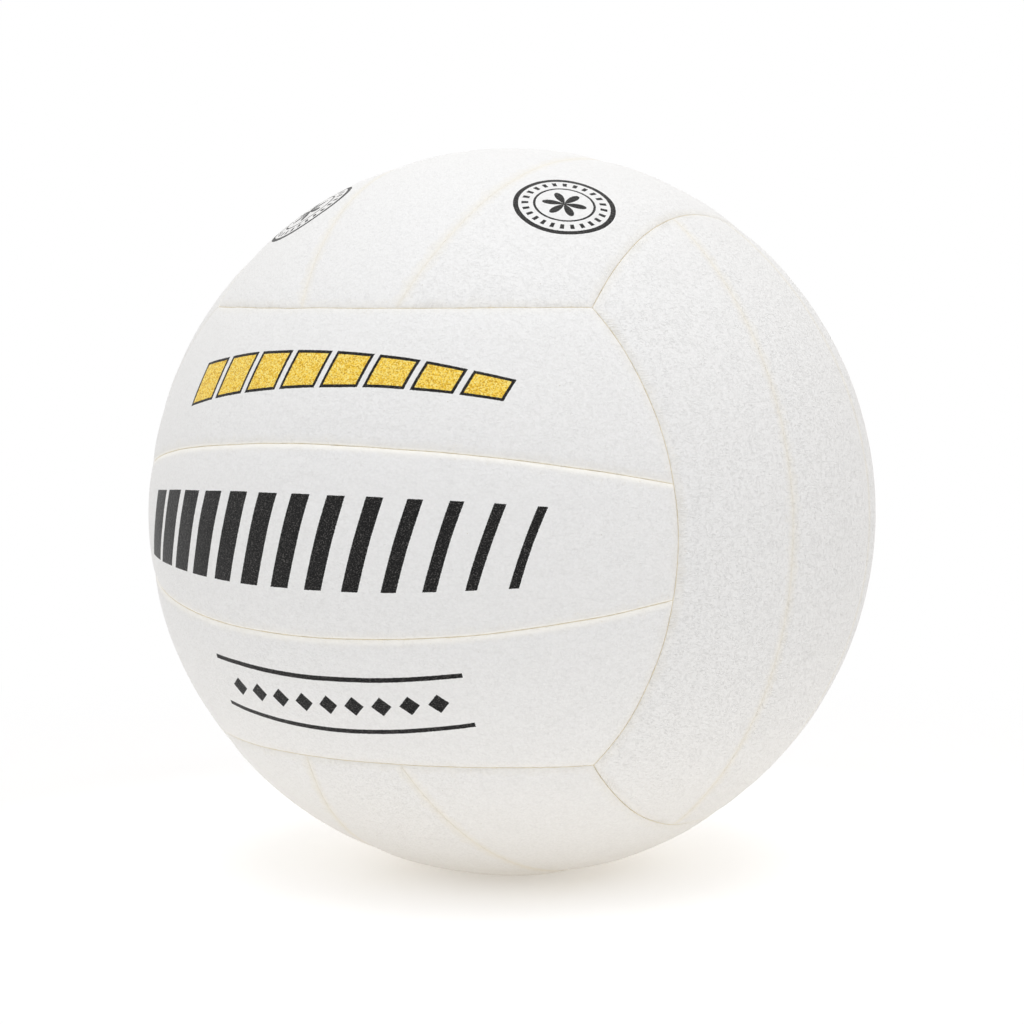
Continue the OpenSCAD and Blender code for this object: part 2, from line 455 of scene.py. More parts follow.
def shapeHole(p, row, column, look):
    # Bends the rows round the valve into rings
    a, b = row / look["holeBlock"][0], column / look["holeBlock"][1]
    ring = max(abs(a), abs(b))
    if ring >= look["holeBlend"] or ring == 0:
        return p
    square = Vector((p.x, p.y)).normalized() * math.acos(min(1, p.z)) * crownRadius
    circle = Vector((a, b)).normalized() * look["holeRadius"] * (1 + (ring - 1) * look["holeSpread"])
    flat = circle.lerp(square, smooth((ring - 1) / (look["holeBlend"] - 1)))
    angle = flat.length / crownRadius
    flat.normalize()
    return Vector((flat.x * math.sin(angle), flat.y * math.sin(angle), math.cos(angle)))


def surfaceRise(spot, along, across, distances, seed, puckers, look):
    # Folds by the seams, bends across the strip and slow swell. With them go the folds' own place, in mm
    # along the nearest seam and in from it, and how freely they form, which is not at all in a corner.
    nearest, second = sorted(distances)[:2]
    run = across if distances[2] == nearest else along
    free = smooth((second - nearest) / look["puckerCorner"])
    fold = noise.noise(Vector((run / look["puckerRun"], nearest / look["puckerLength"], seed)))
    mean, contrast = look["puckerPatches"]
    patchy = puckers * free * smooth(mean + contrast * noise.noise(spot / look["puckerPatch"]))
    rise = look["pucker"] * fold * patchy * math.exp(-max(0, nearest) / look["puckerReach"])
    bend = noise.noise(Vector((along / look["creaseRun"], across / look["creaseLength"], seed)))
    rise += look["crease"] * bend
    rise += look["swell"] * (noise.noise(spot / look["swellRun"]) - look["swellUnder"])
    return rise, Vector((run / mm, nearest / mm, patchy))


def faceOutwards(bm):
    # The faces of a curved sheet made to look away from the ball's centre
    bmesh.ops.recalc_face_normals(bm, faces=bm.faces)
    if sum(f.normal.dot(f.calc_center_median()) * f.calc_area() for f in bm.faces) < 0:
        bmesh.ops.reverse_faces(bm, faces=bm.faces)


def makePanel(face, side, look):
    name = f"{face}_{faces[face][1][side + 1]}_panel"
    turn = stripTurn(face, side)
    kinds = seamKinds(face, side, look)
    seams = [*stripSeams[abs(side)], endSeam]
    patch = stripPatch(side, [gap / 2 for gap, _, _ in kinds])
    alongSpan, acrossSpan = stripSpans(side)
    holed = (face, side) == valvePanel
    halfAlong, halfAcross = look["rowsAlong"] / 2, look["rowsAcross"] / 2
    seed = 10 * list(faces).index(face) + 3 * side
    inner = seams[:2] if side == 0 else seams[:1]
    # How wide the painted highlight is along each inner seam: full on a panel's top edge
    edgeShares = [1 if (turn @ normal).z < 0 else look["underHighlight"] for normal, _ in inner]

    noise.seed_set(look["wanderSeed"])
    bm = bmesh.new()
    seamLayer = bm.verts.layers.float_vector.new("seamPlace")
    placeLayer = bm.verts.layers.float_vector.new("stripPlace")
    stainLayer = bm.verts.layers.float_vector.new("stainPlace")
    bmesh.ops.create_grid(bm, x_segments=look["rowsAlong"], y_segments=look["rowsAcross"], size=1)
    if holed:
        limits = [n - 0.5 for n in look["holeBlock"]]    # half a row short, as the rim's own row stays
        middle = [v for v in bm.verts
                  if abs(v.co.x * halfAlong) < limits[0] and abs(v.co.y * halfAcross) < limits[1]]
        bmesh.ops.delete(bm, geom=middle, context="VERTS")
    for v in bm.verts:
        row = round((v.co.x + 1) * halfAlong)
        column = round((v.co.y + 1) * halfAcross)
        p = patch(
            rowShare(row, look["rowsAlong"], alongSpan, look),
            rowShare(column, look["rowsAcross"], acrossSpan, look),
        )
        if holed:
            p = shapeHole(p, row - halfAlong, column - halfAcross, look)
        distances = [d - kind[0] / 2 for d, kind in zip(seamDistances(side, p), kinds)]
        along = math.atan2(p.x, math.hypot(p.y, p.z)) * crownRadius
        across = math.atan2(p.y, p.z) * crownRadius
        world = turn @ p
        spot = world * crownRadius
        nearest = kinds[distances.index(min(distances))]
        puckers = look["puckers"][face] * (1 if nearest is look["openSeam"] else look["closedPuckers"])
        rise, seamPlace = surfaceRise(spot, along, across, distances, seed, puckers, look)
        radius = crownRadius - panelDrop(distances, kinds, look) + rise
        if holed:
            fromHole = math.acos(min(1, p.z)) * crownRadius - look["holeRadius"]
            radius -= look["holeDepth"] * roundDrop(fromHole, look["holeLip"])

        # The gap opens here and there along a seam, and the seam itself wanders
        opening = max(0, noise.noise(spot / look["gapRun"])) * look["gapChange"]
        opening += smooth(-spot.z / look["lowReach"]) * look["lowGap"]
        for distance, (_, width, _), (normal, _) in zip(distances, kinds, seams):
            near = edgeShare(distance, width)
            inward = normal - normal.dot(p) * p
            world = world + turn @ inward.normalized() * opening * near / crownRadius
        wander = noise.noise_vector(spot / look["wanderRun"]) * look["seamWander"] / crownRadius
        v.co = (world + wander).normalized() * radius

        # What the leather's material reads, in mm: the folds' place, the place on the strip and the way in
        # from the edges with the painted highlight, then the way in from an open and a closed seam, and the
        # share of the grain
        fromInner = min(d / share for d, share in zip(distances, edgeShares))
        if face not in openFaces:
            fromInner = look["farOff"]
        fromOpen, fromClosed = (
            min((d for d, kind in zip(distances, kinds) if kind is look[name]), default=look["farOff"])
            for name in ("openSeam", "closedSeam"))
        v[seamLayer] = seamPlace
        v[placeLayer] = Vector((along, across, fromInner)) / mm
        v[stainLayer] = Vector((fromOpen, fromClosed, look["grain"][face][side + 1] * mm)) / mm

    # The leather turns down into the seam as far as the casing
    rim = [e for e in bm.edges if e.is_boundary]
    wall = bmesh.ops.extrude_edge_only(bm, edges=rim)["geom"]
    for v in [g for g in wall if isinstance(g, bmesh.types.BMVert)]:
        v.co = v.co.normalized() * (casingRadius + bondGap)
    faceOutwards(bm)
    for f in bm.faces:
        f.smooth = True
    mesh = bpy.data.meshes.new(name)
    bm.to_mesh(mesh)
    bm.free()
    piece = bpy.data.objects.new("cover_" + name, mesh)
    bpy.context.scene.collection.objects.link(piece)
    solid = piece.modifiers.new("leatherThickness", "SOLIDIFY")
    solid.thickness = look["leather"]
    solid.offset = -1
    if name in motifs:
        mesh.materials.append(makeCoverLeather("printedSyntheticLeather", leatherLook, motifs[name]))
    else:
        mesh.materials.append(bareLeather)
    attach(piece, "ball")
    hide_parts(name)


# Where a colour ramp gives a share, its stops are greys: white is all of it. The two ends come first.
leatherLook = {
    "white": ((0.3, "#F2F2F1"), (0.8, "#EEEEED")),    # on the raised pebbles, and between them, darker there as painted shade
    "pebble": 0.7,                 # mm across a grain of the pressed texture
    "pebbleSoftness": 0.5,
    "relief": 0.09 * mm,           # height of a pebble, and a wrinkle's or fold's depth against it
    "dent": 0.6,
    "wrinkle": (1.5, 0.5),         # mm along the horizon and up, from one wrinkle to the next
    "wrinkleWidth": 0.04,          # its half width, in the noise that it runs along the middle of
    "wrinkleWander": 0.55,
    "breaks": 1.2,                 # mm between the breaks in a wrinkle, and the noise that makes them
    "breakRange": (0.32, 0.55),
    "fold": (0.75, 4),             # mm between puckers and along one, square to the seam
    "foldWidth": 0.22,             # its half width, as a share of that
    "foldWander": 0.9,
    "foldFade": (1.2, 3.4),        # mm from the seam, between which folds end
    "shade": "#C9C4B8",            # painted shade down in a wrinkle or a fold, and how far that darkens each
    "wrinkleShade": 0.1,
    "foldShade": 0.15,
    "lipHighlight": "#FFFEFA",        # painted highlight over the edges along an open seam inside a face
    "lipHighlightFade": (0.35, 1.9),  # mm from the seam, between which that ends
    "speck": "#A79B84",            # specks of dirt, one at most in each cell of this many mm
    "speckCell": 4,
    "speckSize": 0.035,            # radius, as a share of the cell
    "speckRarity": 0.82,           # share of the cells that have none
    "speckShade": 0.5,
    "cream": "#EFE5CA",            # where the rubber and glue under a seam have stained it,
    "stainReach": 3,               # about this many mm out. It fades this many times as fast where it is
    "stainChange": (1.6, 0.6),     # narrow and where it is wide, over this range of the noise,
    "stainRange": (0.3, 0.7),
    "stainCloud": 2.5,             # with this many mm from one such place to the next
    # An open seam stains a hair's breadth strongly, and a closed one a wider band faintly
    "openStain": ((0, "#FFFFFF"), (1, "#000000"), (0.012, "#E0E0E0"), (0.05, "#808080"), (0.1, "#606060"),
                  (0.7, "#343434")),
    "closedStain": ((0, "#989898"), (1, "#000000"), (0.1, "#8E8E8E"), (0.2, "#7E7E7E"), (0.35, "#6C6C6C"),
                    (0.7, "#505050")),
    "glue": "#CDB683",             # dots of glue that came through beside a seam
    "glueCell": 1.1,               # mm from dot to dot
    "glueSize": (0.08, 0.24),      # radius where a dot is full and where it ends, as shares of that
    "glueFade": (0.6, 3.6),        # mm from the seam
    "glueShade": 0.2,
    "gluePatches": (0.5, 0.62),    # the noise that they come on between
    "roughness": (0.46, 0.6),      # on the pebbles, and between them
    "ior": 1.48,
    "specular": 0.2,               # a matt finish takes off most of the gloss
}


# Plain printed motifs, in mm along (u) and across (v) a strip from the motif's middle. Each is a list of
# steps: a name, a maths operation and its inputs, which are numbers or earlier names. "ink" is where it
# prints, and "gold" is where gold lies on the ink.

motifs = {
    # Slanted bars that narrow from left to right
    "front_middle_panel": {
        "place": (-3, 0),
        "steps": (
            ("lean", "MULTIPLY_ADD", "v", -0.3, "u"),
            ("turn", "MULTIPLY_ADD", "lean", 1 / 11.2, 6.5),
            ("part", "FRACT", "turn"),
            ("width", "MULTIPLY_ADD", "lean", -0.0045, 0.52),
            ("bar", "LESS_THAN", "part", "width"),
            ("off", "ABSOLUTE", "v"),
            ("tall", "LESS_THAN", "off", 12.5),
            ("far", "ABSOLUTE", "lean"),
            ("long", "LESS_THAN", "far", 72.8),
            ("field", "MULTIPLY", "tall", "long"),
            ("ink", "MULTIPLY", "bar", "field"),
        ),
    },
    # Gold tiles with a black edge, smaller to the right
    "front_upper_panel": {
        "place": (0, 46),
        "steps": (
            ("lean", "MULTIPLY_ADD", "v", -0.3, "u"),
            ("turn", "MULTIPLY", "lean", 1 / 13),
            ("part", "FRACT", "turn"),
            ("slim", "MULTIPLY_ADD", "lean", -0.032, 5.2),
            ("off", "ABSOLUTE", "v"),
            ("inside", "SUBTRACT", "slim", "off"),
            ("ahead", "SUBTRACT", "part", 0.5),
            ("beside", "ABSOLUTE", "ahead"),
            ("within", "MULTIPLY_ADD", "beside", -13, 5.7),
            ("depth", "MINIMUM", "inside", "within"),
            ("far", "ABSOLUTE", "lean"),
            ("long", "LESS_THAN", "far", 52),
            ("edge", "GREATER_THAN", "depth", 0),
            ("ink", "MULTIPLY", "edge", "long"),
            ("core", "GREATER_THAN", "depth", 0.85),
            ("gold", "MULTIPLY", "core", "long"),
        ),
    },
    # A row of diamonds between two lines
    "front_lower_panel": {
        "place": (0, 45),
        "steps": (
            ("off", "ABSOLUTE", "v"),
            ("far", "ABSOLUTE", "u"),
            ("line", "COMPARE", "off", 8, 0.7),
            ("long", "LESS_THAN", "far", 40),
            ("rule", "MULTIPLY", "line", "long"),
            ("turn", "MULTIPLY_ADD", "u", 1 / 8, 0.5),
            ("part", "FRACT", "turn"),
            ("ahead", "SUBTRACT", "part", 0.5),
            ("beside", "ABSOLUTE", "ahead"),
            ("around", "MULTIPLY_ADD", "beside", 8, "off"),
            ("diamond", "LESS_THAN", "around", 2.9),
            ("row", "LESS_THAN", "far", 36),
            ("gem", "MULTIPLY", "diamond", "row"),
            ("ink", "MAXIMUM", "rule", "gem"),
        ),
    },
}

# A ring of ticks between two plain rings, round a six-petalled rosette
ringSteps = (
    ("uu", "MULTIPLY", "u", "u"),
    ("square", "MULTIPLY_ADD", "v", "v", "uu"),
    ("away", "SQRT", "square"),
    ("outer", "COMPARE", "away", 14, 0.75),
    ("inner", "COMPARE", "away", 8.6, 0.35),
    ("rings", "MAXIMUM", "outer", "inner"),
    ("angle", "ARCTAN2", "v", "u"),
    ("turn", "MULTIPLY", "angle", 24 / math.tau),
    ("part", "FRACT", "turn"),
    ("tick", "COMPARE", "part", 0.5, 0.2),
    ("band", "COMPARE", "away", 11.3, 1),
    ("ticks", "MULTIPLY", "tick", "band"),
    ("marks", "MAXIMUM", "rings", "ticks"),
    ("triple", "MULTIPLY", "angle", 3),
    ("wave", "COSINE", "triple"),
    ("lobe", "ABSOLUTE", "wave"),
    ("petal", "MULTIPLY", "lobe", 6.4),
    ("rosette", "LESS_THAN", "away", "petal"),
    ("ink", "MAXIMUM", "marks", "rosette"),
)
motifs["top_right_panel"] = {"place": (42, 46), "steps": ringSteps}
motifs["top_left_panel"] = {"place": (-44, 46), "steps": ringSteps}

inkLook = {
    # Screen ink: dark, thinner on the grain, with a few bright grains
    "black": ((0.42, "#030303"), (0.56, "#1A1919"), (0.68, "#585654")),
    # Gold ink: flakes lighter or darker in colour, as a painted glint
    "gold": ((0, "#CC9A24"), (0.5, "#FFD648"), (1, "#FFEF94")),
    "grain": 0.3,            # mm from grain to grain and flake to flake
    "ragged": 0.3,           # mm that the grain breaks an edge
    "roughness": 0.42,
}


def addPrint(tree, place, leather, motif, look):
    # The motif's ink over the leather's colour, and how much ink lies at each spot
    strip = addNode(tree, "ShaderNodeAttribute", {"attribute_name": "stripPlace"}).outputs["Vector"]
    grain = addNode(tree, "ShaderNodeTexNoise", links={
        "Vector": place, "Scale": 1 / look["grain"], "Detail": 2})
    broken = addNode(tree, "ShaderNodeVectorMath", {"operation": "MULTIPLY_ADD"}, {
        0: grain.outputs["Color"], 1: [look["ragged"]] * 3, 2: strip})
    middle = [c + look["ragged"] / 2 for c in motif["place"]] + [0]
    centred = addNode(tree, "ShaderNodeVectorMath", {"operation": "SUBTRACT"}, {
        0: broken.outputs[0], 1: middle})
    values = dict(zip("uv", addNode(tree, "ShaderNodeSeparateXYZ", links={0: centred.outputs[0]}).outputs))
    for name, operation, *inputs in motif["steps"]:
        values[name] = addNode(tree, "ShaderNodeMath", {"operation": operation}, {
            i: values.get(value, value) for i, value in enumerate(inputs)}).outputs[0]
    black = addNode(tree, "ShaderNodeValToRGB", {"stops": look["black"]}, {0: grain.outputs["Fac"]})
    colour = addNode(tree, "ShaderNodeMix", asColours, {
        0: values["ink"], 6: leather, 7: black.outputs[0]}).outputs[2]
    if "gold" in values:
        # Gold flakes, each given a painted glint in its colour
        flakes = addNode(tree, "ShaderNodeTexVoronoi", links={"Vector": place, "Scale": 1 / look["grain"]})
        shine = addNode(tree, "ShaderNodeSeparateColor", links={0: flakes.outputs["Color"]})
        gold = addNode(tree, "ShaderNodeValToRGB", {"stops": look["gold"]}, {0: shine.outputs[0]})
        colour = addNode(tree, "ShaderNodeMix", asColours, {
            0: values["gold"], 6: colour, 7: gold.outputs[0]}).outputs[2]
    return colour, values["ink"]


def makeCoverLeather(name, look, motif=None):
    # Synthetic leather pressed over foam: matt white, with a fine pebble grain and small broken wrinkles,
    # puckered and stained cream at the seams; painted shade between the pebbles and in the wrinkles and
    # folds, and a painted highlight along the edges of the open seams
    material, tree, shader, place = newMaterial(name)
    seamPlace = addNode(tree, "ShaderNodeAttribute", {"attribute_name": "seamPlace"}).outputs["Vector"]
    run, seam, free = addNode(tree, "ShaderNodeSeparateXYZ", links={0: seamPlace}).outputs
    stainPlace = addNode(tree, "ShaderNodeAttribute", {"attribute_name": "stainPlace"}).outputs["Vector"]
    openSeam, closedSeam, grainShare = addNode(tree, "ShaderNodeSeparateXYZ", links={0: stainPlace}).outputs
    strip = addNode(tree, "ShaderNodeAttribute", {"attribute_name": "stripPlace"}).outputs["Vector"]
    innerSeam = addNode(tree, "ShaderNodeSeparateXYZ", links={0: strip}).outputs[2]

    # Relief: pressed pebbles, wrinkles that come and go, and puckers that fade away from a seam
    pebble = addNode(tree, "ShaderNodeTexVoronoi", {"feature": "SMOOTH_F1"}, {
        "Vector": place, "Scale": 1 / look["pebble"], "Smoothness": look["pebbleSoftness"]})
    along, up = look["wrinkle"]
    drawn = addNode(tree, "ShaderNodeVectorMath", times, {0: place, 1: (1 / along, 1 / along, 1 / up)})
    crackle = addNode(tree, "ShaderNodeTexNoise", links={
        "Vector": drawn.outputs[0], "Scale": 1, "Detail": 2, "Roughness": look["wrinkleWander"]})
    middle = addNode(tree, "ShaderNodeMath", {"operation": "SUBTRACT"}, {0: crackle.outputs[0], 1: 0.5})
    aside = addNode(tree, "ShaderNodeMath", {"operation": "ABSOLUTE"}, {0: middle.outputs[0]})
    crack = addNode(tree, "ShaderNodeMapRange", smoothly, {
        "Value": aside.outputs[0],
        "From Min": 0, "From Max": look["wrinkleWidth"], "To Min": 1, "To Max": 0})
    patches = addNode(tree, "ShaderNodeTexNoise", links={
        "Vector": place, "Scale": 1 / look["breaks"], "Detail": 1})
    often = addNode(tree, "ShaderNodeMapRange", smoothly, {
        "Value": patches.outputs[0], "From Min": look["breakRange"][0], "From Max": look["breakRange"][1]})
    there = addNode(tree, "ShaderNodeMath", times, {0: often.outputs[0], 1: grainShare})
    wrinkles = addNode(tree, "ShaderNodeMath", times, {0: crack.outputs[0], 1: there.outputs[0]})
    foldRun = addNode(tree, "ShaderNodeMath", {"operation": "DIVIDE"}, {0: run, 1: look["fold"][0]})
    foldOut = addNode(tree, "ShaderNodeMath", {"operation": "DIVIDE"}, {0: seam, 1: look["fold"][1]})
    foldPlace = addNode(tree, "ShaderNodeCombineXYZ", links={0: foldRun.outputs[0], 1: foldOut.outputs[0]})
    folds = addNode(tree, "ShaderNodeTexVoronoi", {"feature": "DISTANCE_TO_EDGE"}, {
        "Vector": foldPlace.outputs[0], "Scale": 1, "Randomness": look["foldWander"]})
    stroke = addNode(tree, "ShaderNodeMapRange", smoothly, {
        "Value": folds.outputs["Distance"],
        "From Min": 0, "From Max": look["foldWidth"], "To Min": 1, "To Max": 0})
    fade = addNode(tree, "ShaderNodeMapRange", smoothly, {
        "Value": seam, "From Min": look["foldFade"][0], "From Max": look["foldFade"][1],
        "To Min": 1, "To Max": 0})
    freely = addNode(tree, "ShaderNodeMath", times, {0: fade.outputs[0], 1: free})
    puckers = addNode(tree, "ShaderNodeMath", times, {0: stroke.outputs[0], 1: freely.outputs[0]})
    dents = addNode(tree, "ShaderNodeMath", larger, {0: wrinkles.outputs[0], 1: puckers.outputs[0]})
    relief = addNode(tree, "ShaderNodeMath", {"operation": "MULTIPLY_ADD"}, {
        0: dents.outputs[0], 1: -look["dent"], 2: pebble.outputs["Distance"]})
    bump = addNode(tree, "ShaderNodeBump", links={
        "Height": relief.outputs[0], "Strength": 1, "Distance": look["relief"]})
    tree.links.new(bump.outputs[0], shader.inputs["Normal"])

    # Colour: painted shade that leaves the pebbles paler and darkens the wrinkles and folds, the painted
    # highlight along the open seams' edges, and the specks
    # The leather's white, darker between the pebbles as painted shade
    white = addNode(tree, "ShaderNodeValToRGB", {"stops": look["white"]}, {0: pebble.outputs["Distance"]})
    # Painted shade down in the wrinkles and folds
    cracked = addNode(tree, "ShaderNodeMath", times, {0: wrinkles.outputs[0], 1: look["wrinkleShade"]})
    puckered = addNode(tree, "ShaderNodeMath", times, {0: puckers.outputs[0], 1: look["foldShade"]})
    shaded = addNode(tree, "ShaderNodeMath", larger, {0: cracked.outputs[0], 1: puckered.outputs[0]})
    paintedShade = addNode(tree, "ShaderNodeMix", asColours, {
        0: shaded.outputs[0], 6: white.outputs[0], 7: toLinear(look["shade"])})
    # Painted highlight along the edges of the open seams inside a face, wider on a panel's top edge
    lipHighlightShare = addNode(tree, "ShaderNodeMapRange", smoothly, {
        "Value": innerSeam, "From Min": look["lipHighlightFade"][0], "From Max": look["lipHighlightFade"][1],
        "To Min": 1, "To Max": 0})
    highlighted = addNode(tree, "ShaderNodeMix", asColours, {
        0: lipHighlightShare.outputs[0], 6: paintedShade.outputs[2], 7: toLinear(look["lipHighlight"])})
    speck = addNode(tree, "ShaderNodeTexVoronoi", links={"Vector": place, "Scale": 1 / look["speckCell"]})
    small = addNode(tree, "ShaderNodeMath", {"operation": "LESS_THAN"}, {
        0: speck.outputs["Distance"], 1: look["speckSize"]})
    chance = addNode(tree, "ShaderNodeSeparateColor", links={0: speck.outputs["Color"]})
    some = addNode(tree, "ShaderNodeMath", {"operation": "GREATER_THAN"}, {
        0: chance.outputs[0], 1: look["speckRarity"]})
    dot = addNode(tree, "ShaderNodeMath", times, {0: small.outputs[0], 1: some.outputs[0]})
    faint = addNode(tree, "ShaderNodeMath", times, {0: dot.outputs[0], 1: look["speckShade"]})
    specked = addNode(tree, "ShaderNodeMix", asColours, {
        0: faint.outputs[0], 6: highlighted.outputs[2], 7: toLinear(look["speck"])})

    # The cream stain along the seams
    cloud = addNode(tree, "ShaderNodeTexNoise", links={
        "Vector": place, "Scale": 1 / look["stainCloud"], "Detail": 4, "Roughness": 0.65})
    soon, late = (share / look["stainReach"] for share in look["stainChange"])
    wobble = addNode(tree, "ShaderNodeMapRange", links={
        "Value": cloud.outputs[0], "From Min": look["stainRange"][0], "From Max": look["stainRange"][1],
        "To Min": soon, "To Max": late})
    stains = []
    for distance, stops in ((openSeam, look["openStain"]), (closedSeam, look["closedStain"])):
        ratio = addNode(tree, "ShaderNodeMath", times, {0: distance, 1: wobble.outputs[0]})
        ramp = addNode(tree, "ShaderNodeValToRGB", {"stops": stops}, {0: ratio.outputs[0]})
        stains.append(ramp.outputs[0])
    stain = addNode(tree, "ShaderNodeMath", larger, {0: stains[0], 1: stains[1]})
    stained = addNode(tree, "ShaderNodeMix", asColours, {
        0: stain.outputs[0], 6: specked.outputs[2], 7: toLinear(look["cream"])})

    # Dots of glue near a seam
    dots = addNode(tree, "ShaderNodeTexVoronoi", links={"Vector": place, "Scale": 1 / look["glueCell"]})
    glueDot = addNode(tree, "ShaderNodeMapRange", smoothly, {
        "Value": dots.outputs["Distance"], "From Min": look["glueSize"][0], "From Max": look["glueSize"][1],
        "To Min": 1, "To Max": 0})
    nearSeam = addNode(tree, "ShaderNodeMapRange", smoothly, {
        "Value": seam, "From Min": look["glueFade"][0], "From Max": look["glueFade"][1],
        "To Min": look["glueShade"], "To Max": 0})
    few = addNode(tree, "ShaderNodeMapRange", smoothly, {
        "Value": cloud.outputs[0], "From Min": look["gluePatches"][0], "From Max": look["gluePatches"][1]})
    strayed = addNode(tree, "ShaderNodeMath", times, {0: nearSeam.outputs[0], 1: few.outputs[0]})
    glued = addNode(tree, "ShaderNodeMath", times, {0: strayed.outputs[0], 1: glueDot.outputs[0]})
    dotted = addNode(tree, "ShaderNodeMix", asColours, {
        0: glued.outputs[0], 6: stained.outputs[2], 7: toLinear(look["glue"])})
    colour = dotted.outputs[2]

    rough = addNode(tree, "ShaderNodeMapRange", links={
        "Value": pebble.outputs["Distance"],
        "To Min": look["roughness"][0], "To Max": look["roughness"][1]}).outputs[0]
    if motif:
        colour, ink = addPrint(tree, place, colour, motif, inkLook)
        rough = addNode(tree, "ShaderNodeMix", links={0: ink, 2: rough, 3: inkLook["roughness"]}).outputs[0]
    tree.links.new(colour, shader.inputs["Base Color"])
    tree.links.new(rough, shader.inputs["Roughness"])
    shader.inputs["IOR"].default_value = look["ior"]
    shader.inputs["Specular IOR Level"].default_value = look["specular"]
    return material


bareLeather = makeCoverLeather("pressedSyntheticLeather", leatherLook)
for face in faces:
    for side in (-1, 0, 1):
        makePanel(face, side, panelLook)
print("cover panels made")


# Foam pads, sealed under the panels

padLook = {
    "rowsAlong": 88,           # as on the panels
    "rowsAcross": 28,
    "lipRows": 3,
    "lipReach": 2 * mm,
    "lipCrowding": 1.2,
    "inset": 1.35 * mm,        # inside the seam, past the leather's turned-down edge
    "edgeWidth": 1 * mm,       # of the rounded edge
    "edgeDepth": 0.5 * mm,
    "neckRadius": 6.04 * mm,   # the valve's neck comes up through the middle pad at the back,
    "neckClearance": 0.3 * mm,
    "neckPull": 2,             # which is drawn out round it, as far as this many times its hole
    "fill": 0.9,
}


def makePad(face, side, look):
    name = f"{face}_{faces[face][1][side + 1]}_pad"
    turn = stripTurn(face, side)
    kinds = seamKinds(face, side, panelLook)
    patch = stripPatch(side, [look["inset"]] * 3)
    alongSpan, acrossSpan = stripSpans(side)
    bm = bmesh.new()
    bmesh.ops.create_grid(bm, x_segments=look["rowsAlong"], y_segments=look["rowsAcross"], size=1)
    for v in bm.verts:
        p = patch(
            rowShare(round((v.co.x + 1) * look["rowsAlong"] / 2), look["rowsAlong"], alongSpan, look),
            rowShare(round((v.co.y + 1) * look["rowsAcross"] / 2), look["rowsAcross"], acrossSpan, look),
        )
        distances = seamDistances(side, p)
        edge = max(roundDrop(d - look["inset"], look["edgeWidth"]) for d in distances) * look["edgeDepth"]
        under = panelLook["leather"] + bondGap + panelDrop(distances, kinds, panelLook)
        v.co = turn @ p * (crownRadius - under - edge)
    faceOutwards(bm)
    if (face, side) == valvePanel:
        clear = look["neckRadius"] + look["neckClearance"]
        near = [v for v in bm.verts if math.hypot(v.co.x, v.co.z) < clear and v.co.y > 0]
        bmesh.ops.delete(bm, geom=near, context="VERTS")
        for v in {v for e in bm.edges if e.is_boundary for v in e.verts}:
            away = math.hypot(v.co.x, v.co.z)
            if away < look["neckPull"] * clear:
                v.co.x *= clear / away
                v.co.z *= clear / away
    seat = bmesh.ops.extrude_face_region(bm, geom=bm.faces[:], use_keep_orig=True)["geom"]
    for v in [g for g in seat if isinstance(g, bmesh.types.BMVert)]:
        v.co = v.co.normalized() * (casingRadius + bondGap)
    bmesh.ops.recalc_face_normals(bm, faces=bm.faces)
    for f in bm.faces:
        f.smooth = True
    mesh = bpy.data.meshes.new(name)
    bm.to_mesh(mesh)
    bm.free()
    mesh.materials.append(backingFoam)
    piece = bpy.data.objects.new("foam_" + name, mesh)
    bpy.context.scene.collection.objects.link(piece)
    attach(piece, "ball")
    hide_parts(name)


foamLook = {
    "cell": 0.5,               # mm across a cell
    "colours": ((0.1, "#E9DFC4"), (0.7, "#F4ECD8")),    # in a burst cell, painted darker there as shade, and on its walls
    "relief": 0.15 * mm,
    "roughness": 0.9,
    "ior": 1.48,
}


def makeBackingFoam(look):
    # Closed-cell EVA foam, skived from a sheet: cream and matt, with burst cells all over, painted darker
    # down in them as shade
    material, tree, shader, place = newMaterial("closedCellFoam")
    cells = addNode(tree, "ShaderNodeTexVoronoi", links={"Vector": place, "Scale": 1 / look["cell"]})
    # Painted shade: darker down in the burst cells
    colour = addNode(tree, "ShaderNodeValToRGB", {"stops": look["colours"]}, {0: cells.outputs["Distance"]})
    tree.links.new(colour.outputs[0], shader.inputs["Base Color"])
    bump = addNode(tree, "ShaderNodeBump", links={
        "Height": cells.outputs["Distance"], "Distance": look["relief"]})
    tree.links.new(bump.outputs[0], shader.inputs["Normal"])
    shader.inputs["Roughness"].default_value = look["roughness"]
    shader.inputs["IOR"].default_value = look["ior"]
    return material


backingFoam = makeBackingFoam(foamLook)
for face in faces:
    for side in (-1, 0, 1):
        makePad(face, side, padLook)
print("foam pads made")


# Inner layers and the valve: the construction's own shapes, with their finishes

casingLook = {
    "cloud": 3,                # mm across a cloud of colour
    "colours": ((0.3, "#CDB57F"), (0.7, "#E2CF9F")),
    "grain": 0.6,              # mm across a grain of the rubber's skin
    "relief": 0.08 * mm,
    "roughness": 0.68,
    "ior": 1.52,
}


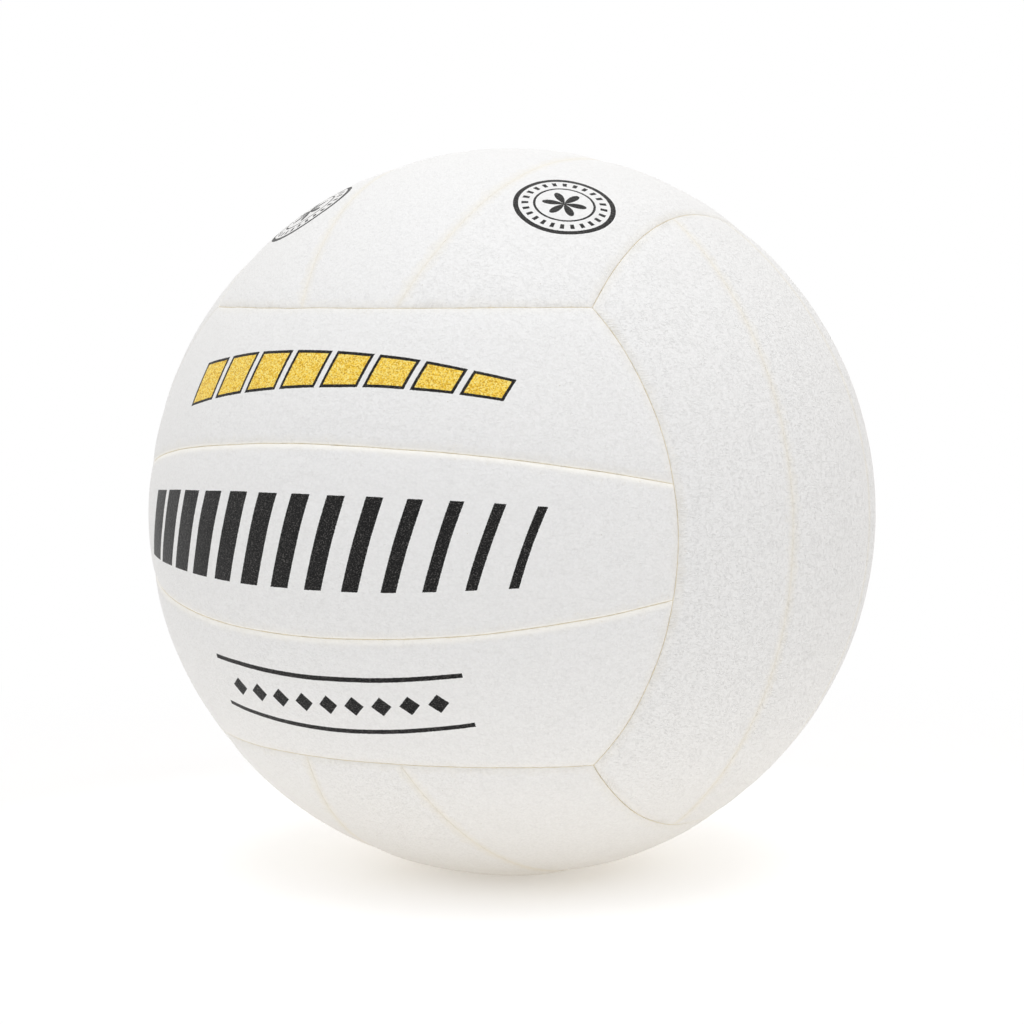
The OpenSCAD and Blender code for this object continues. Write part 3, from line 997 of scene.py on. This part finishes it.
def makeCasingRubber(look):
    # Natural rubber calendered to a sheet and cured on the winding: ochre, matt, cloudy, with dried glue
    material, tree, shader, place = newMaterial("curedCasingRubber")
    cloud = addNode(tree, "ShaderNodeTexNoise", links={
        "Vector": place, "Scale": 1 / look["cloud"], "Detail": 6, "Roughness": 0.6})
    colour = addNode(tree, "ShaderNodeValToRGB", {"stops": look["colours"]}, {0: cloud.outputs[0]})
    tree.links.new(colour.outputs[0], shader.inputs["Base Color"])
    fine = addNode(tree, "ShaderNodeTexNoise", links={
        "Vector": place, "Scale": 1 / look["grain"], "Detail": 3})
    bump = addNode(tree, "ShaderNodeBump", links={"Height": fine.outputs[0], "Distance": look["relief"]})
    tree.links.new(bump.outputs[0], shader.inputs["Normal"])
    shader.inputs["Roughness"].default_value = look["roughness"]
    shader.inputs["IOR"].default_value = look["ior"]
    return material


windingLook = {
    "thread": 0.5,             # mm across a thread
    "waveShare": 0.31,         # the wave texture's scale that gives one thread to a mm
    "ways": 3,                 # how many directions show, and the turn from one to the next, in radians
    "turn": (0.9, 1.7, 2.6),
    "wander": 0.6,
    "colours": ((0.2, "#CFC6AE"), (0.9, "#F2EEE2")),    # latex between the threads, and the thread
    "relief": 0.2 * mm,
    "roughness": 0.45,
    "ior": 1.53,
}


def makeNylonWinding(look):
    # Nylon thread wound round and round in every direction and set in latex: off-white, faintly glossy
    material, tree, shader, place = newMaterial("latexedNylonThread")
    threads = None
    for i in range(look["ways"]):
        turned = addNode(tree, "ShaderNodeMapping", links={
            "Vector": place, "Rotation": Vector(look["turn"]) * (i + 1)})
        wave = addNode(tree, "ShaderNodeTexWave", links={
            "Vector": turned.outputs[0], "Scale": look["waveShare"] / look["thread"],
            "Distortion": look["wander"], "Detail": 1, "Detail Scale": 0.2}).outputs["Fac"]
        threads = wave if threads is None else addNode(
            tree, "ShaderNodeMath", larger, {0: threads, 1: wave}).outputs[0]
    colour = addNode(tree, "ShaderNodeValToRGB", {"stops": look["colours"]}, {0: threads})
    tree.links.new(colour.outputs[0], shader.inputs["Base Color"])
    bump = addNode(tree, "ShaderNodeBump", links={"Height": threads, "Distance": look["relief"]})
    tree.links.new(bump.outputs[0], shader.inputs["Normal"])
    shader.inputs["Roughness"].default_value = look["roughness"]
    shader.inputs["IOR"].default_value = look["ior"]
    return material


rubberLook = {
    "dust": 1.4,               # mm across a patch of dust, and the range of noise over which it comes on
    "dustRange": (0.35, 0.75),
    "pore": 0.12,              # mm across a pore
    "relief": 0.02 * mm,
    "ior": 1.52,
    # Each piece's material, the colours of its rubber clean and dusty, and its roughness
    "bladder": ("butylBladderRubber", "#2C2A27", "#3B3935", 0.42),
    "valve_boss": ("mouldedBossRubber", "#45433E", "#5A5750", 0.55),
    "valve_core": ("mouldedCoreRubber", "#272623", "#37352F", 0.4),
}


def makeMouldedRubber(node, look):
    # Butyl or EPDM rubber from a polished mould: near black, satin, with dust in its fine pores
    name, dark, light, roughness = look[node]
    material, tree, shader, place = newMaterial(name)
    dust = addNode(tree, "ShaderNodeTexNoise", links={
        "Vector": place, "Scale": 1 / look["dust"], "Detail": 8, "Roughness": 0.7})
    stops = tuple(zip(look["dustRange"], (dark, light)))
    colour = addNode(tree, "ShaderNodeValToRGB", {"stops": stops}, {0: dust.outputs[0]})
    tree.links.new(colour.outputs[0], shader.inputs["Base Color"])
    pores = addNode(tree, "ShaderNodeTexNoise", links={
        "Vector": place, "Scale": 1 / look["pore"], "Detail": 2})
    bump = addNode(tree, "ShaderNodeBump", links={"Height": pores.outputs[0], "Distance": look["relief"]})
    tree.links.new(bump.outputs[0], shader.inputs["Normal"])
    shader.inputs["Roughness"].default_value = roughness
    shader.inputs["IOR"].default_value = look["ior"]
    return material


finishes = {
    "casing": makeCasingRubber(casingLook),
    "winding": makeNylonWinding(windingLook),
    "bladder": makeMouldedRubber("bladder", rubberLook),
    "valve_boss": makeMouldedRubber("valve_boss", rubberLook),
    "valve_core": makeMouldedRubber("valve_core", rubberLook),
}
for name, material in finishes.items():
    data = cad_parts[name].data
    data.materials.clear()
    data.materials.append(material)
print("inner layers and valve finished")
